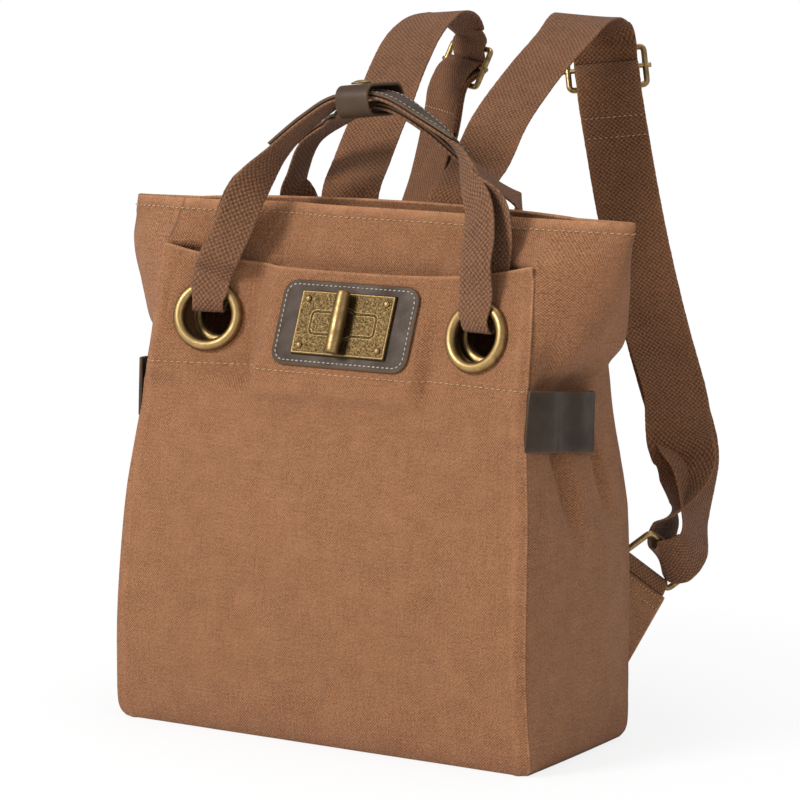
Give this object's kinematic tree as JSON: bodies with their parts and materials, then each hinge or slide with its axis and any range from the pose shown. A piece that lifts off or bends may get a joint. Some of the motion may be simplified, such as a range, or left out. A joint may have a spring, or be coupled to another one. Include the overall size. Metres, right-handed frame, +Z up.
{
  "type": "canvas backpack",
  "caption": "Canvas backpack with a boxed body, front pocket with a brass turn lock, webbing handles through brass grommets, leather trims and two adjustable shoulder straps.",
  "frame": {"origin": "centre of the flat base, on the floor", "axes": "+Z up to the handles, the front pocket faces -Y, +X to the viewer's right of someone facing the front"},
  "size_m": [0.3756, 0.2982, 0.4566],
  "materials": {
    "canvas": "waxed cotton canvas, matte",
    "webbing": "woven cotton webbing, matte",
    "leather": "smooth, satin",
    "brass": "antiqued, satin"
  },
  "bodies": {
    "bag": {"bag_body": "canvas", "front_pocket": "canvas", "pocket_grommet_left": "brass", "body_grommet_left": "brass", "pocket_grommet_right": "brass", "body_grommet_right": "brass", "lock_patch": "leather", "lock_plate": "brass", "lock_rivet_1": "brass", "lock_rivet_2": "brass", "lock_rivet_3": "brass", "lock_rivet_4": "brass", "handle_front": "webbing", "handle_back": "webbing", "grip_front": "leather", "grip_back": "leather", "handle_keeper": "leather", "keeper_snap": "brass", "side_band_left": "leather", "shoulder_strap_left": "webbing", "strap_slider_left": "brass", "strap_ring_left": "brass", "tab_webbing_left": "webbing", "strap_tab_left": "canvas", "side_band_right": "leather", "shoulder_strap_right": "webbing", "strap_slider_right": "brass", "strap_ring_right": "brass", "tab_webbing_right": "webbing", "strap_tab_right": "canvas"},
    "turn_bar": {"turn_bar": "brass"}
  },
  "joints": [
    {"name": "turn_lock", "type": "hinge", "parent": "bag", "child": "turn_bar", "pos_m": [0.0046, -0.04318, 0.26432], "axis": [0, -0.9272, 0.3746], "range_deg": [0, 90]}
  ]
}
